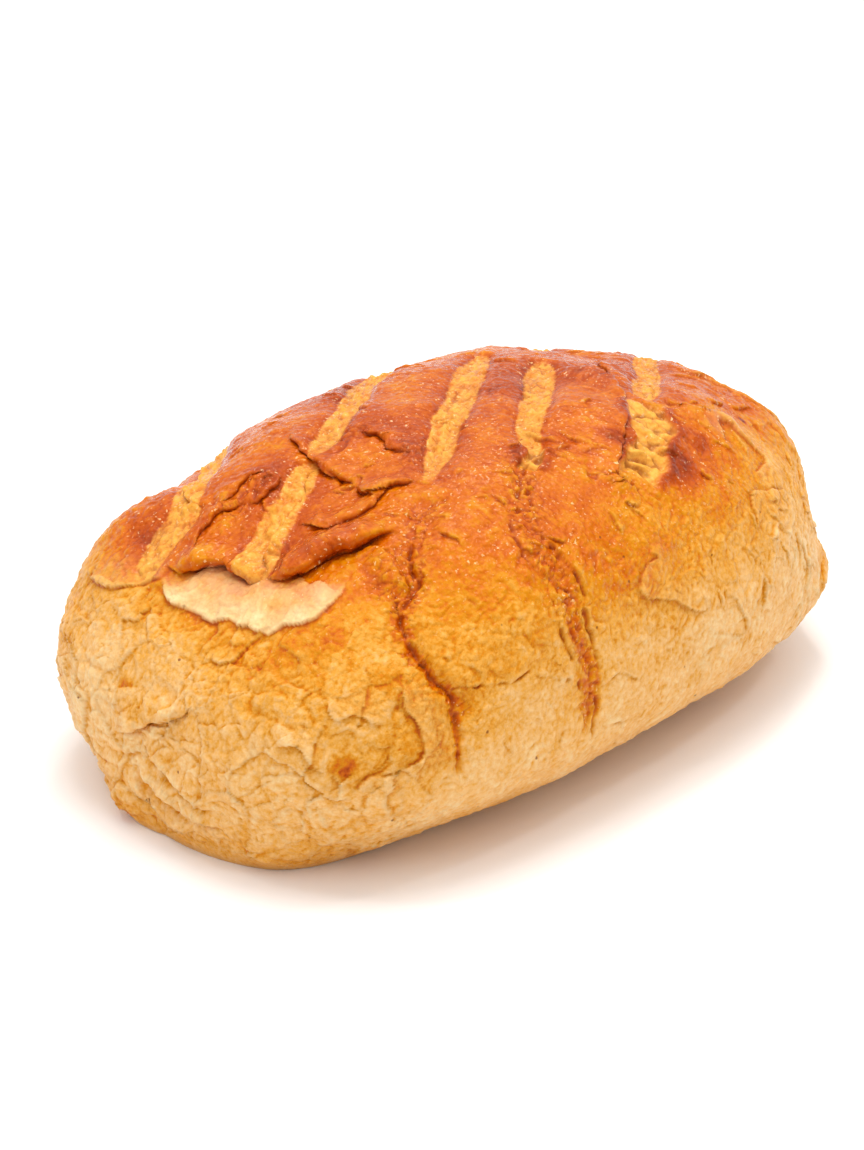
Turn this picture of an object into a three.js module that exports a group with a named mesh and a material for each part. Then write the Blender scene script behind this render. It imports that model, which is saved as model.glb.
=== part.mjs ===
// A large oval loaf of white bread, baked in one piece.
// Millimetres, +Z up. The long axis is X, and the origin is the middle of the flat underside.
import * as THREE from "three";

// Driving dimensions.
const LENGTH = 300;
const WIDTH = 195;
const HEIGHT = 112;

// The outline seen from above is a superellipse: 2 is a plain oval, and larger is squarer.
const PLAN_NEAR_END = 3.05; // the -X end, the blunter one
const PLAN_FAR_END = 2.8; // the +X end

// The dome above the widest level, with the same measure of squareness.
const DOME_ACROSS = 2.55;
const DOME_NEAR_END = 1.8;
const DOME_FAR_END = 2.45;

// The sides are widest at this share of the height and tuck in below it, down to the foot.
const WIDEST_LEVEL = 0.33;
const TUCK_SQUARENESS = 1.2;
const FOOT_SIDE = 0.565; // width of the foot as a share of the loaf's
const FOOT_NEAR_END = 0.98;
const FOOT_FAR_END = 0.73;

// Rises and hollows of the crust: where each one is, how far it reaches, and its height.
const SWELLS = [
  { at: [-73, 71, 91], reach: 17, height: -6.5 }, // dip between two scores on the back shoulder
  { at: [-97, 63, 84], reach: 15, height: 3.5 }, // rise beside it
  { at: [116, -50, 86], reach: 13, height: 3.2 }, // knuckle on the far shoulder
  { at: [115, -72, 60], reach: 27, height: -5 }, // flattened far corner
  { at: [112, 4, 96], reach: 16, height: 4.5 }, // ridge over the far end
  { at: [94, 24, 104], reach: 20, height: -2 },
  { at: [-125, 20, 85], reach: 30, height: 1.5 },
  { at: [20, -95, 50], reach: 40, height: 1.5 },
  { at: [-60, -60, 88], reach: 22, height: 1.5 },
  { at: [40, 92, 55], reach: 30, height: 2 },
  { at: [-40, 96, 40], reach: 28, height: -2 },
  { at: [100, 60, 70], reach: 24, height: 2 },
  { at: [118, -76, 33], reach: 10, height: 3.5 }, // end of the roll, far corner
  { at: [88, -88, 30], reach: 12, height: 1.8 },
  { at: [-118, 72, 62], reach: 18, height: 1.5 },
  { at: [-136, 26, 14], reach: 12, height: 3 }, // end of the roll, near corner
];
const SWELL_FADE = 12; // the swells fade out over this height above the flat underside

// Where the underside lifts off the table its edge steps inwards:
// the plan angle and the spread in degrees, and the depth in millimetres.
const LIFTS = [
  { angle: 40, spread: 18, depth: 5 },
  { angle: 95, spread: 12, depth: 4 },
  { angle: 125, spread: 14, depth: -3 },
  { angle: 165, spread: 13, depth: 5 },
  { angle: 207, spread: 7, depth: -4 },
  { angle: 231, spread: 13, depth: 9 },
  { angle: 262, spread: 12, depth: 3 },
  { angle: 300, spread: 16, depth: 3 },
];

// The mesh: columns round the loaf and rings from the crown down to the foot.
const COLUMNS = 84;
const RINGS = 30;
const DOME_SHARE = 0.72; // share of the rings above the widest level

const mix = THREE.MathUtils.lerp;
const ease = THREE.MathUtils.smoothstep;
const bell = (distance, reach) => Math.exp(-0.5 * (distance / reach) ** 2);

// Half-extent of the flat underside's edge, as a share of the widest outline.
function footShare(angle, endShare, farShare, halfExtent) {
  let share = mix(FOOT_SIDE, mix(FOOT_NEAR_END, FOOT_FAR_END, farShare), endShare);
  const degrees = THREE.MathUtils.radToDeg(angle);
  for (const { angle: centre, spread, depth } of LIFTS) {
    const away = THREE.MathUtils.euclideanModulo(degrees - centre + 180, 360) - 180;
    share -= (depth / halfExtent) * bell(away, spread);
  }
  return share;
}

// A point of the plain form: angle goes round the plan, and depth runs from 0 at the
// crown to 1 at the edge of the underside.
function formPoint(angle, depth) {
  const c = Math.cos(angle);
  const s = Math.sin(angle);
  const farShare = ease(c, -1, 1);
  const endShare = c * c;
  const squareness = mix(PLAN_NEAR_END, PLAN_FAR_END, farShare);
  const radius = (Math.abs(c) ** squareness + Math.abs(s) ** squareness) ** (-1 / squareness);
  const outerX = (c * radius * LENGTH) / 2;
  const outerY = (s * radius * WIDTH) / 2;

  let spread;
  let level;
  if (depth <= DOME_SHARE) {
    const rise = (Math.PI / 2) * (1 - depth / DOME_SHARE);
    const domeEnd = mix(DOME_NEAR_END, DOME_FAR_END, farShare);
    const power = 2 / mix(DOME_ACROSS, domeEnd, endShare);
    spread = Math.max(Math.cos(rise), 0) ** power;
    level = mix(WIDEST_LEVEL, 1, Math.sin(rise) ** power);
  } else {
    const drop = ((Math.PI / 2) * (depth - DOME_SHARE)) / (1 - DOME_SHARE);
    const foot = footShare(angle, endShare, farShare, Math.hypot(outerX, outerY));
    spread = mix(foot, 1, Math.max(Math.cos(drop), 0) ** (2 / TUCK_SQUARENESS));
    level = WIDEST_LEVEL * (1 - Math.sin(drop));
  }
  return new THREE.Vector3(outerX * spread, outerY * spread, level * HEIGHT);
}

// The way the crust faces, as on an ellipsoid above the widest level and sideways below it.
function facing(point) {
  const above = Math.max(point.z - WIDEST_LEVEL * HEIGHT, 0);
  const domeHeight = (1 - WIDEST_LEVEL) * HEIGHT;
  return new THREE.Vector3(
    point.x / (LENGTH / 2) ** 2,
    point.y / (WIDTH / 2) ** 2,
    above / domeHeight ** 2,
  ).normalize();
}

function swellHeight(point) {
  let height = 0;
  for (const { at, reach, height: peak } of SWELLS) {
    height += peak * bell(point.distanceTo(new THREE.Vector3(...at)), reach);
  }
  return height * ease(point.z, 0, SWELL_FADE);
}

// A sphere's rings and columns are carried onto the loaf. Its last ring becomes the edge
// of the underside, so the cap below that ring is the flat resting face.
function loafGeometry() {
  const geometry = new THREE.SphereGeometry(1, COLUMNS, RINGS);
  const position = geometry.getAttribute("position");
  const uv = geometry.getAttribute("uv");
  for (let i = 0; i < position.count; i++) {
    const ring = Math.round((1 - uv.getY(i)) * RINGS);
    if (ring === RINGS) {
      position.setXYZ(i, 0, 0, 0);
      continue;
    }
    if (ring === 0) {
      position.setXYZ(i, 0, 0, HEIGHT);
      continue;
    }
    const angle = Math.PI + 2 * Math.PI * uv.getX(i);
    const depth = ring / (RINGS - 1);
    const point = formPoint(angle, depth);
    point.addScaledVector(facing(point), swellHeight(point));
    position.setXYZ(i, point.x, point.y, ring === RINGS - 1 ? 0 : point.z);
  }
  centreOverOrigin(geometry);
  geometry.computeVertexNormals();
  return geometry;
}

// The swells and lifts are uneven, so the middle of the finished loaf is brought back
// over the origin.
function centreOverOrigin(geometry) {
  geometry.computeBoundingBox();
  const centre = geometry.boundingBox.getCenter(new THREE.Vector3());
  geometry.translate(-centre.x, -centre.y, 0);
}

const crust = new THREE.MeshStandardMaterial({
  color: new THREE.Color(0.83, 0.52, 0.2),
  roughness: 0.45,
  metalness: 0,
});

const loaf = new THREE.Mesh(loafGeometry(), crust);
loaf.name = "loaf";

const group = new THREE.Group();
group.name = "tin_loaf";
group.add(loaf);

export default group;
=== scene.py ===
"""A large oval loaf of white bread with a glazed, scored and cracked crust.

The crust is one dense mesh. Its plain form is the CAD solid's, and the relief is added to it
in layers: scores, creases, cracks, lifted skin, flakes, wrinkles and blisters. Each layer also
says how the crust is browned and how it shines, and the material reads that from the mesh. Some
marks paint shade into the colour: in creases, hollows and grooves, and under the edges of flakes
and lifted skin.
Lengths are millimetres until the mesh is made, and metres in Blender.
"""
import math
from itertools import product

import bpy
import numpy as np
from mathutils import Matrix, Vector


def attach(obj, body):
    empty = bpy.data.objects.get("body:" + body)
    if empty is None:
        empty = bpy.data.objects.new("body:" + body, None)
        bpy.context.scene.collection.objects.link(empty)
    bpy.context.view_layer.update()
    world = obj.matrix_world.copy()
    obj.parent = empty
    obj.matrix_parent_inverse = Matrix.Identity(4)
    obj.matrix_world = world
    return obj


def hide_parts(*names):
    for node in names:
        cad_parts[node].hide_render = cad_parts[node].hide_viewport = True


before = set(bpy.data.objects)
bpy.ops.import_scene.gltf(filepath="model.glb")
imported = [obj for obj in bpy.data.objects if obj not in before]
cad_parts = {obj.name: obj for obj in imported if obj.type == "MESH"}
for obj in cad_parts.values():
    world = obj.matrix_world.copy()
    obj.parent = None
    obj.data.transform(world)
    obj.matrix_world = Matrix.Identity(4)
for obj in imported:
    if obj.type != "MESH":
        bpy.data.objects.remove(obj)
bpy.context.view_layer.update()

MM = 0.001
CELL = 0.58  # spacing of the crust's mesh

# --- The plain form, the same as the CAD solid's -------------------------------------------

LENGTH, WIDTH, HEIGHT = 300.0, 195.0, 112.0
PLAN_NEAR_END, PLAN_FAR_END = 3.05, 2.8
DOME_ACROSS, DOME_NEAR_END, DOME_FAR_END = 2.55, 1.8, 2.45
WIDEST_LEVEL = 0.33
TUCK_SQUARENESS = 1.2
FOOT_SIDE, FOOT_NEAR_END, FOOT_FAR_END = 0.565, 0.98, 0.73
DOME_SHARE = 0.72

# where a rise or hollow is, how far it reaches, and its height
SWELLS = [
    ((-73, 71, 91), 17, -6.5),
    ((-97, 63, 84), 15, 3.5),
    ((116, -50, 86), 13, 3.2),
    ((115, -72, 60), 27, -5),
    ((112, 4, 96), 16, 4.5),
    ((94, 24, 104), 20, -2),
    ((-125, 20, 85), 30, 1.5),
    ((20, -95, 50), 40, 1.5),
    ((-60, -60, 88), 22, 1.5),
    ((40, 92, 55), 30, 2),
    ((-40, 96, 40), 28, -2),
    ((100, 60, 70), 24, 2),
    ((118, -76, 33), 10, 3.5),
    ((88, -88, 30), 12, 1.8),
    ((-118, 72, 62), 18, 1.5),
    ((-136, 26, 14), 12, 3),
]
SWELL_FADE = 12

# plan angle and spread in degrees, and how far the foot steps inwards there
LIFTS = [
    (40, 18, 5), (95, 12, 4), (125, 14, -3), (165, 13, 5),
    (207, 7, -4), (231, 13, 9), (262, 12, 3), (300, 16, 3),
]


def ease(x, low=0.0, high=1.0):
    x = np.clip((x - low) / (high - low), 0.0, 1.0)
    return x * x * (3 - 2 * x)


def mix(a, b, share):
    return a + (b - a) * share


def bell(distance, reach):
    return np.exp(-0.5 * (distance / reach) ** 2)


def unit(v):
    return v / (np.linalg.norm(v, axis=-1, keepdims=True) + 1e-12)


def form(angle, depth):
    """Points of the plain form: depth is 0 at the crown and 1 at the edge of the underside."""
    c, s = np.cos(angle), np.sin(angle)
    far, end = ease(c, -1, 1), c * c
    squareness = mix(PLAN_NEAR_END, PLAN_FAR_END, far)
    radius = (np.abs(c) ** squareness + np.abs(s) ** squareness) ** (-1 / squareness)
    outer_x, outer_y = c * radius * LENGTH / 2, s * radius * WIDTH / 2

    rise = math.pi / 2 * (1 - np.clip(depth / DOME_SHARE, 0, 1))
    power = 2 / mix(DOME_ACROSS, mix(DOME_NEAR_END, DOME_FAR_END, far), end)
    dome_spread = np.clip(np.cos(rise), 0, 1) ** power
    dome_level = mix(WIDEST_LEVEL, 1.0, np.clip(np.sin(rise), 0, 1) ** power)

    foot = mix(FOOT_SIDE, mix(FOOT_NEAR_END, FOOT_FAR_END, far), end)
    half = np.hypot(outer_x, outer_y)
    degrees = np.degrees(angle)
    for centre, spread, inwards in LIFTS:
        away = (degrees - centre + 180) % 360 - 180
        foot = foot - inwards / half * bell(away, spread)
    drop = math.pi / 2 * np.clip((depth - DOME_SHARE) / (1 - DOME_SHARE), 0, 1)
    tuck_spread = mix(foot, 1.0, np.clip(np.cos(drop), 0, 1) ** (2 / TUCK_SQUARENESS))
    tuck_level = WIDEST_LEVEL * (1 - np.sin(drop))

    above = depth <= DOME_SHARE
    spread = np.where(above, dome_spread, tuck_spread)
    level = np.where(above, dome_level, tuck_level)
    p = np.stack([outer_x * spread, outer_y * spread, level * HEIGHT], -1)

    dome = np.maximum(p[:, 2] - WIDEST_LEVEL * HEIGHT, 0) / ((1 - WIDEST_LEVEL) * HEIGHT) ** 2
    facing = unit(np.stack([p[:, 0] / (LENGTH / 2) ** 2, p[:, 1] / (WIDTH / 2) ** 2, dome], -1))
    swell = 0
    for at, reach, height in SWELLS:
        swell = swell + height * bell(np.linalg.norm(p - np.array(at), axis=1), reach)
    return p + facing * (swell * ease(p[:, 2], 0, SWELL_FADE))[:, None]


# --- The mesh: a box's grid blown up to a ball and carried onto the form --------------------

UNDER_TURN = 0.69  # share of the half turn from crown to underside that the crust's side takes


def box_grid():
    """Directions and faces of a box's surface grid, with shared edges."""
    nx = int(LENGTH / 2 * math.pi / 2 / CELL)
    ny = int(WIDTH / 2 * math.pi / 2 / CELL)
    nz = int(150 / CELL)
    counts = (nx, ny, nz)
    keys, quads, start = [], [], 0
    for axis, side in product(range(3), (0, 1)):
        a, b = [i for i in range(3) if i != axis]
        ia, ib = np.meshgrid(np.arange(counts[a] + 1), np.arange(counts[b] + 1), indexing="ij")
        key = np.zeros(ia.shape + (3,), np.int64)
        key[..., a], key[..., b], key[..., axis] = ia, ib, side * counts[axis]
        index = start + np.arange(ia.size).reshape(ia.shape)
        quad = np.stack([index[:-1, :-1], index[1:, :-1], index[1:, 1:], index[:-1, 1:]], -1)
        flip = (side == 1) == (axis == 1)
        quads.append(quad[..., ::-1].reshape(-1, 4) if flip else quad.reshape(-1, 4))
        keys.append(key.reshape(-1, 3))
        start += ia.size
    keys, quads = np.concatenate(keys), np.concatenate(quads)
    flat = (keys[:, 0] * (ny + 1) + keys[:, 1]) * (nz + 1) + keys[:, 2]
    _, first, back = np.unique(flat, return_index=True, return_inverse=True)
    cube = keys[first] / np.array(counts) * 2 - 1
    cube = np.tan(cube * math.pi / 4)
    return unit(cube), back.reshape(-1)[quads]


def grid_on_form():
    direction, quads = box_grid()
    angle = np.arctan2(direction[:, 1], direction[:, 0]) % (2 * math.pi)
    turn = np.arccos(np.clip(direction[:, 2], -1, 1)) / math.pi
    depth = np.where(turn < 0.5, turn / 0.5 * DOME_SHARE,
                     DOME_SHARE + (turn - 0.5) / (UNDER_TURN - 0.5) * (1 - DOME_SHARE))
    points = form(angle, np.minimum(depth, 1.0))
    inner = np.clip((1 - turn) / (1 - UNDER_TURN), 0, 1)
    points[:, :2] *= inner[:, None]
    middle = (points.max(0) + points.min(0)) / 2
    points[:, :2] -= middle[:2]
    return points, quads, unfolded(angle, turn)


def unfolded(angle, turn):
    """Texture coordinates: the crust opened out from its crown, and the underside beside it."""
    opened = np.sin(turn * math.pi / 2) / math.sin(UNDER_TURN * math.pi / 2)
    crown = 0.5 + 0.495 * opened[:, None] * np.stack([np.cos(angle), 0.72 * np.sin(angle)], -1)
    crown[:, 1] -= 0.14
    inner = np.clip((1 - turn) / (1 - UNDER_TURN), 0, 1)
    below = 0.12 * inner[:, None] * np.stack([np.cos(angle), np.sin(angle)], -1) + (0.87, 0.87)
    return crown, below


def normals_of(points, quads):
    a, b, c, d = (points[quads[:, i]] for i in range(4))
    face = np.cross(c - a, d - b)
    total = np.stack([
        sum(np.bincount(quads[:, i], face[:, k], len(points)) for i in range(4)) for k in range(3)
    ], -1)
    return unit(total)


def smoothed(values, quads, rounds):
    """The values averaged with their neighbours on the mesh."""
    count = sum(np.bincount(quads[:, i], minlength=len(values)) for i in range(4))
    for _ in range(rounds):
        mean = values[quads].mean(1)
        values = sum(np.bincount(quads[:, i], mean, len(values)) for i in range(4)) / count
    return values


# --- Noise ---------------------------------------------------------------------------------

CORNERS = np.array(list(product((0, 1), repeat=3)))
EDGES = [s for s in product((-1, 0, 1), repeat=3) if sum(map(abs, s)) == 2]
SLOPES = unit(np.array(EDGES, float))


def scramble(cell, seed):
    """A well-mixed whole number for each lattice cell."""
    c = cell.astype(np.int64).astype(np.uint32)
    h = c[:, 0] * np.uint32(0x8DA6B343) ^ c[:, 1] * np.uint32(0xD8163841)
    h ^= c[:, 2] * np.uint32(0xCB1AB31F) ^ np.uint32(seed * 7919 + 101)
    h ^= h >> np.uint32(15)
    h *= np.uint32(0x2C1B3C6D)
    h ^= h >> np.uint32(12)
    h *= np.uint32(0x297A2D39)
    return h ^ (h >> np.uint32(15))


def noise(points, size, seed=0):
    """Smooth gradient noise, about -1 to 1, with lumps of the given size."""
    q = points / size
    base = np.floor(q)
    f = q - base
    w = f * f * f * (f * (f * 6 - 15) + 10)
    total = np.zeros(len(points))
    for corner in CORNERS:
        slope = SLOPES[scramble(base + corner, seed) % np.uint32(12)]
        share = np.prod(np.where(corner, w, 1 - w), axis=1)
        total += ((f - corner) * slope).sum(1) * share
    return total * 1.6


def warp(points, size, amount, seed=0):
    """Points moved about by noise, for irregular outlines."""
    shift = np.stack([noise(points, size, seed + 31 * k) for k in range(3)], -1)
    return points + amount * shift


def shades(numbers, count):
    """Random shares from 0 to 1 for each scrambled number."""
    out = []
    for k in range(count):
        numbers = (numbers ^ (numbers >> np.uint32(13))) * np.uint32(0x5BD1E995)
        out.append((numbers >> np.uint32(8)) / float(1 << 24))
    return out


def cells(points, size, seed=0, jitter=0.9):
    """Cellular noise: distances to the nearest two centres, way to the nearest, its number."""
    q = points / size
    base = np.floor(q)
    f = q - base
    near = np.full(len(points), 9.0)
    following = near.copy()
    way = np.zeros_like(q)
    number = np.zeros(len(points), np.uint32)
    for offset in product((-1, 0, 1), repeat=3):
        h = scramble(base + np.array(offset), seed)
        centre = np.stack(shades(h, 3), -1) * jitter + (1 - jitter) / 2 + np.array(offset)
        step = f - centre
        distance = (step * step).sum(1)
        closer = distance < near
        following = np.where(closer, near, np.minimum(following, distance))
        way[closer] = step[closer]
        number[closer] = h[closer]
        near = np.where(closer, distance, near)
    return np.sqrt(near) * size, np.sqrt(following) * size, way * size, number


# --- Features along a line on the crust -----------------------------------------------------


def curve(points, spacing=2.0):
    """A smooth line through the given points."""
    p = np.array(points, float)
    if len(p) == 2:
        p = np.array([p[0], p.mean(0), p[1]])
    p = np.concatenate([[2 * p[0] - p[1]], p, [2 * p[-1] - p[-2]]])
    out = []
    for a, b, c, d in zip(p, p[1:], p[2:], p[3:]):
        n = max(2, int(np.linalg.norm(c - b) / spacing))
        t = np.linspace(0, 1, n, endpoint=False)[:, None]
        out.append(0.5 * (2 * b + (c - a) * t + (2 * a - 5 * b + 4 * c - d) * t**2
                          + (3 * b - a - 3 * c + d) * t**3))
    return np.concatenate(out + [p[-2:-1]])


# size, amount and seed of the waves that bend the lines on the crust
WAVES = ((16, 2.6, 41), (6.5, 1.2, 45), (2.6, 0.35, 49))
CALM_WAVES = ((16, 1.2, 41), (6.5, 0.4, 45))
JAGS = ((3.6, 0.8, 57),)


def bend(points, waves):
    for size, amount, seed in waves:
        points = warp(points, size, amount, seed)
    return points


class Crust:
    """The crust's points, their outward normals, and what the layers add to them."""

    def __init__(self):
        self.points, self.quads, self.opened = grid_on_form()
        self.normals = normals_of(self.points, self.quads)
        count = len(self.points)
        self.height = np.zeros(count)
        self.shift = np.zeros((count, 3))
        self.toward = np.zeros((count, 3))
        self.marks = {}
        self.bent = bend(self.points, WAVES)
        self.calm = bend(self.points, CALM_WAVES)
        self.jagged = bend(self.bent, JAGS)
        self.side = ease(self.points[:, 2], 0.5, 9)

    def mark(self, name):
        if name not in self.marks:
            self.marks[name] = np.zeros(len(self.points))
        return self.marks[name]

    def raise_mark(self, name, near, values):
        mark = self.mark(name)
        mark[near] = np.maximum(mark[near], values)

    def turned(self, angle):
        c, s = math.cos(angle), math.sin(angle)
        x, y, z = self.points.T
        return np.stack([c * x + s * y, c * y - s * x, z], -1)

    def zone(self, at, reach):
        """1 at a place on the crust, fading to 0 at about twice the reach."""
        away = (self.points - np.array(at)) / np.array(reach)
        return np.exp(-0.5 * (away * away).sum(1))

    def along(self, points, reach, bent=None):
        """Points near a line: their indices, signed distance, share of its length, nearest point.

        The distance is positive to the left of the line, seen from outside. The line is bent
        with the crust's wavy places, or with other ones that are given."""
        line = curve(points)
        low, high = line.min(0) - reach, line.max(0) + reach
        bent = self.bent if bent is None else bent
        near = np.flatnonzero(((bent > low) & (bent < high)).all(1))
        p = bent[near]
        a, b = line[:-1], line[1:]
        best = np.full(len(p), 1e9)
        piece = np.zeros(len(p), int)
        share = np.zeros(len(p))
        for k in range(len(a)):
            step = b[k] - a[k]
            t = np.clip(((p - a[k]) @ step) / (step @ step + 1e-9), 0, 1)
            distance = ((p - a[k] - t[:, None] * step) ** 2).sum(1)
            closer = distance < best
            best = np.where(closer, distance, best)
            piece[closer] = k
            share = np.where(closer, t, share)
        keep = best < reach * reach
        near, p, piece, share, best = near[keep], p[keep], piece[keep], share[keep], best[keep]
        step = b[piece] - a[piece]
        foot = a[piece] + step * share[:, None]
        left = unit(np.cross(self.normals[near], step))
        self.toward[near] = left
        side = np.sign(((p - foot) * left).sum(1))
        length = np.r_[0, np.cumsum(np.linalg.norm(b - a, axis=1))]
        where = (length[piece] + share * (length[piece + 1] - length[piece])) / length[-1]
        return near, side * np.sqrt(best), where, foot


def ends(where, share=0.12):
    """1 along a line, fading to 0 at both ends."""
    return ease(where, 0, share) * ease(1 - where, 0, share)


def puffs(points, size, seed):
    """Rounded swellings with sharp creases between them, about -0.5 to 1."""
    return 3 * np.abs(noise(points, size, seed)) - 0.5


# --- The scores: parallel cuts that opened into pale bands ----------------------------------

SCORE_TURN = math.radians(30)  # how far the scores are turned from the loaf's long axis

# each score's line over the crown, its width at both ends, its depth, and whether its end is a
# point
SCORES = [
    ([(-22, 92, 64), (-38, 84, 78), (-51, 76, 86), (-75, 56, 92), (-98, 40, 92), (-114, 35, 84),
      (-127, 30, 74)], 11, 15, 1.8, False),
    ([(52, 80, 84), (28, 66, 99), (1, 50, 107), (-30, 31, 109), (-48, 21, 107),
      (-60, 14, 104)], 14, 9, 2.0, False),
    ([(-62, 15, 104), (-76, 8, 100), (-89, 3, 95), (-101, -3, 90),
      (-112, -9, 84)], 11, 15, 1.6, False),
    ([(52, 37, 109), (36, 28, 111), (24, 20, 112), (2, 5, 112), (-16, -5, 112), (-38, -20, 109),
      (-60, -34, 104)], 13, 10, 2.0, True),
    ([(56, 12, 110), (42, 2, 111), (14, -19, 112), (-5, -32, 110),
      (-15, -43, 108)], 12, 9, 2.2, False),
    ([(128, 14, 84), (105, 2, 99), (85, -14, 104), (66, -28, 107),
      (50, -39, 107)], 9, 11, 2.0, False),
    ([(120, 62, 72), (102, 50, 88), (84, 38, 100), (68, 28, 106)], 11, 9, 1.6, False),
]


def cut_scores(crust):
    turned = crust.turned(SCORE_TURN)
    torn = puffs(turned * np.array([0.6, 1, 0.8]), 3.0, 21) + 0.9 * noise(turned, 2.0, 22)
    streak = noise(turned * np.array([0.15, 1, 0.6]), 3.0, 24)
    for line, start, end, depth, pointed in SCORES:
        near, across, where, foot = crust.along(line, 26, crust.calm)
        half = mix(start, end, where) / 2 * (1 - np.abs(2 * where - 1) ** 5) ** 0.5
        if pointed:
            half = half * ease(1 - where, -0.1, 0.22)
        half = half * (1 + 0.14 * noise(foot, 13, 23))
        edge = np.abs(across) - half
        present = ease(half, 0.5, 4)
        inside = (1 - ease(edge, -1.1, 0.9)) * present
        valley = 1 - ease(edge, -2, 6)
        crust.height[near] += present * (0.6 * inside**2 * torn[near] - depth * valley)
        crust.height[near] += 0.5 * bell(edge - 2.0, 1.3) * present
        crust.raise_mark("band", near, inside * (1 - 0.35 * ease(streak[near], 0.1, 0.8)))
        crust.raise_mark("rim", near, bell(edge, 5.0) * ease(edge, -0.5, 0.5) * present)
        # dark crease line in the torn band's low places: partly pooled glaze, partly painted
        # shade
        crust.raise_mark("crease", near, 0.3 * inside * (1 - ease(torn[near], -0.9, -0.2)))


# --- Folds: the skin rolled over, so one side stands over the other --------------------------

# line, radius of the roll, dip below it, and how far back the risen skin reaches; the roll is on
# the left of the line, or on the right where its radius is negative
FOLDS = [
    ([(-119, 26, 81), (-116, 18, 82), (-112, 5, 84), (-111, -6, 84),
      (-110, -13, 85)], 2.0, 2.4, 17),
    ([(-110, -10, 85), (-108, -17, 86), (-104, -22, 89), (-95, -27, 93), (-86, -34, 97),
      (-78, -40, 100)], 2.3, 2.6, 18),
    ([(-86, -34, 97), (-89, -44, 95), (-92, -53, 91), (-95, -58, 88)], -0.9, 1.0, 9),
    ([(-60, 14, 104), (-76, 5, 100), (-90, -1, 94), (-102, -6, 89),
      (-109, -11, 85)], 0.8, 1.6, 6),
    ([(-92, -3, 94), (-84, -16, 98), (-76, -21, 100), (-65, -20, 104),
      (-56, -22, 106)], 0.8, 1.2, 9),
    ([(-52, 34, 107), (-57, 27, 106), (-62, 13, 104), (-62, 2, 103),
      (-64, -9, 103)], 1.0, 1.6, 11),
    ([(-64, -6, 103), (-66, -14, 103), (-60, -22, 105), (-52, -26, 107)], 0.7, 1.0, 8),
    ([(32, -43, 107), (27, -46, 107), (14, -55, 105), (2, -63, 102), (2, -71, 98),
      (5, -77, 93)], -0.9, 1.2, 9),
    ([(34, 6, 111), (46, -4, 110), (51, -14, 110), (47, -26, 109),
      (38, -38, 108)], -0.9, 2.0, 11),
    ([(-88, 48, 92), (-93, 44, 94), (-95, 39, 93), (-98, 40, 92), (-103, 38, 90)], 0.7, 0.8, 7),
    ([(-150, 20, 34), (-150, 10, 39), (-149, 3, 44), (-147, -4, 48),
      (-143, -16, 54)], 0.9, 1.4, 9),
    ([(-112, 22, 86), (-103, 26, 90), (-95, 25, 93), (-89, 20, 96)], 0.6, 1.0, 6),
    ([(-92, 27, 95), (-83, 28, 98), (-76, 24, 101)], 0.7, 0.9, 6),
    ([(-90, 18, 96), (-82, 15, 99), (-74, 17, 101)], 0.6, 0.8, 5),
    ([(-40, 14, 109), (-38, 4, 110), (-44, -4, 109), (-42, -14, 108)], 0.6, 1.0, 7),
    ([(98, -84, 48), (94, -86, 40), (93, -87, 32), (97, -86, 24)], -0.7, 1.6, 7),
    ([(84, 8, 104), (74, -2, 106), (66, -8, 107), (60, -20, 107)], 0.5, 1.0, 8),
    ([(56, -45, 105), (65, -55, 101), (73, -58, 97), (76, -66, 92)], -0.7, 0.9, 7),
    ([(-151, 12, 28), (-150, 4, 22), (-149, -8, 18), (-148, -20, 15),
      (-146, -32, 14)], 0.9, 1.6, 7),
    ([(-150, 16, 20), (-149, 8, 15), (-148, -4, 11), (-147, -16, 9)], 0.7, 1.2, 6),
    ([(-150, 8, 36), (-150, -4, 30), (-149, -14, 25), (-147, -28, 20)], 0.8, 1.0, 8),
]


def fold_skin(crust):
    for number, (line, radius, dip, reach) in enumerate(FOLDS):
        near, across, where, foot = crust.along(line, reach + 1)
        toward = crust.toward[near]
        if radius < 0:
            across, toward, radius = -across, -toward, -radius
        fade = ends(where, 0.25)
        ripple = 1 + 0.35 * noise(foot, 8, 31 + number) + 0.22 * noise(foot, 3.4, 61 + number)
        roll = np.maximum(radius * fade * ripple, 0.02)
        turn = np.clip(across / roll, 0, math.pi)
        behind = np.clip((across - math.pi * roll) / (reach - math.pi * roll), 0, 1)
        moved = np.where(across < math.pi * roll, -roll * np.sin(turn), reach * behind)
        moved = np.where((across < 0) | (across > reach), across, moved)
        lifted = roll * (1 - np.cos(turn)) * (1 - ease(behind)) * (across > 0)
        gutter = dip * fade * np.exp(-np.abs(across) / np.where(across > 0, 0.8, 0.3 * reach))
        crust.height[near] += lifted - gutter
        crust.shift[near] += toward * (moved - across)[:, None]
        # dark crease line where the roll meets the crust: partly pooled glaze, partly painted
        # shade
        crust.raise_mark("crease", near, fade * bell(across, 0.7) * min(1, radius))
        on_roll = ease(across, 0, 1) * bell(across, 2.6 * radius + 1)
        crust.raise_mark("folded", near, fade * on_roll * min(1, radius / 1.6))


# --- Cracks and the browned crackle beside them ----------------------------------------------

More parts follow.
